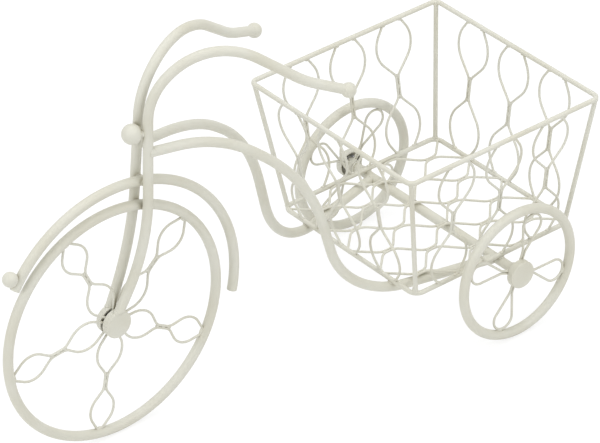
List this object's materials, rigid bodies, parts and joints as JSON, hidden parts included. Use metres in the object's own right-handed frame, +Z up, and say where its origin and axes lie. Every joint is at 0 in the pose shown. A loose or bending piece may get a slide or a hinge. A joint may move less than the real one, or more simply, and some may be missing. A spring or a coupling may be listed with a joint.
{
  "type": "tricycle plant stand",
  "caption": "Decorative welded rod tricycle plant stand with curved handlebars, a fender, spoked wheels and a square wire basket for pots.",
  "frame": {"origin": "middle of the footprint on the floor", "axes": "+X forward towards the large front wheel, +Y to the rider's left, +Z up"},
  "size_m": [0.5066, 0.2202, 0.3166],
  "materials": {
    "cream_paint": "satin powder coat in cream",
    "zinc_steel": "bright zinc plate on the hidden hub pieces"
  },
  "bodies": {
    "frame": {"axle_push_nuts": "zinc_steel", "axle_stop_rings": "cream_paint", "basket_floor_rim": "cream_paint", "basket_top_rim": "cream_paint", "corner_post_front_left": "cream_paint", "corner_post_front_right": "cream_paint", "corner_post_rear_left": "cream_paint", "corner_post_rear_right": "cream_paint", "fender": "cream_paint", "fender_ball": "cream_paint", "floor_mesh": "cream_paint", "fork_rod_left": "cream_paint", "fork_rod_right": "cream_paint", "frame_rod_left": "cream_paint", "frame_rod_right": "cream_paint", "front_axle_pin": "zinc_steel", "front_hub_cap_left": "cream_paint", "front_hub_cap_right": "cream_paint", "front_hub_washers": "zinc_steel", "handlebar_ball_left": "cream_paint", "handlebar_ball_right": "cream_paint", "head_ball": "cream_paint", "lattice_front": "cream_paint", "lattice_left": "cream_paint", "lattice_rear": "cream_paint", "lattice_right": "cream_paint", "rear_axle": "cream_paint"},
    "front_wheel": {"front_hub_barrel": "cream_paint", "front_rim": "cream_paint", "front_spoke_1": "cream_paint", "front_spoke_2": "cream_paint", "front_spoke_3": "cream_paint", "front_spoke_4": "cream_paint", "front_spoke_5": "cream_paint"},
    "rear_wheel_left": {"rear_bush_left": "cream_paint", "rear_hub_cap_left": "cream_paint", "rear_rim_left": "cream_paint", "rear_spoke_left_1": "cream_paint", "rear_spoke_left_2": "cream_paint", "rear_spoke_left_3": "cream_paint", "rear_spoke_left_4": "cream_paint"},
    "rear_wheel_right": {"rear_bush_right": "cream_paint", "rear_hub_cap_right": "cream_paint", "rear_rim_right": "cream_paint", "rear_spoke_right_1": "cream_paint", "rear_spoke_right_2": "cream_paint", "rear_spoke_right_3": "cream_paint", "rear_spoke_right_4": "cream_paint"}
  },
  "joints": [
    {"name": "front_wheel_spin", "type": "hinge", "parent": "frame", "child": "front_wheel", "pos_m": [0.15175, 0, 0.1015], "axis": [0, 1, 0], "continuous": true},
    {"name": "rear_wheel_left_spin", "type": "hinge", "parent": "frame", "child": "rear_wheel_left", "pos_m": [-0.16325, 0.103, 0.059], "axis": [0, 1, 0], "continuous": true},
    {"name": "rear_wheel_right_spin", "type": "hinge", "parent": "frame", "child": "rear_wheel_right", "pos_m": [-0.16325, -0.103, 0.059], "axis": [0, 1, 0], "continuous": true}
  ]
}
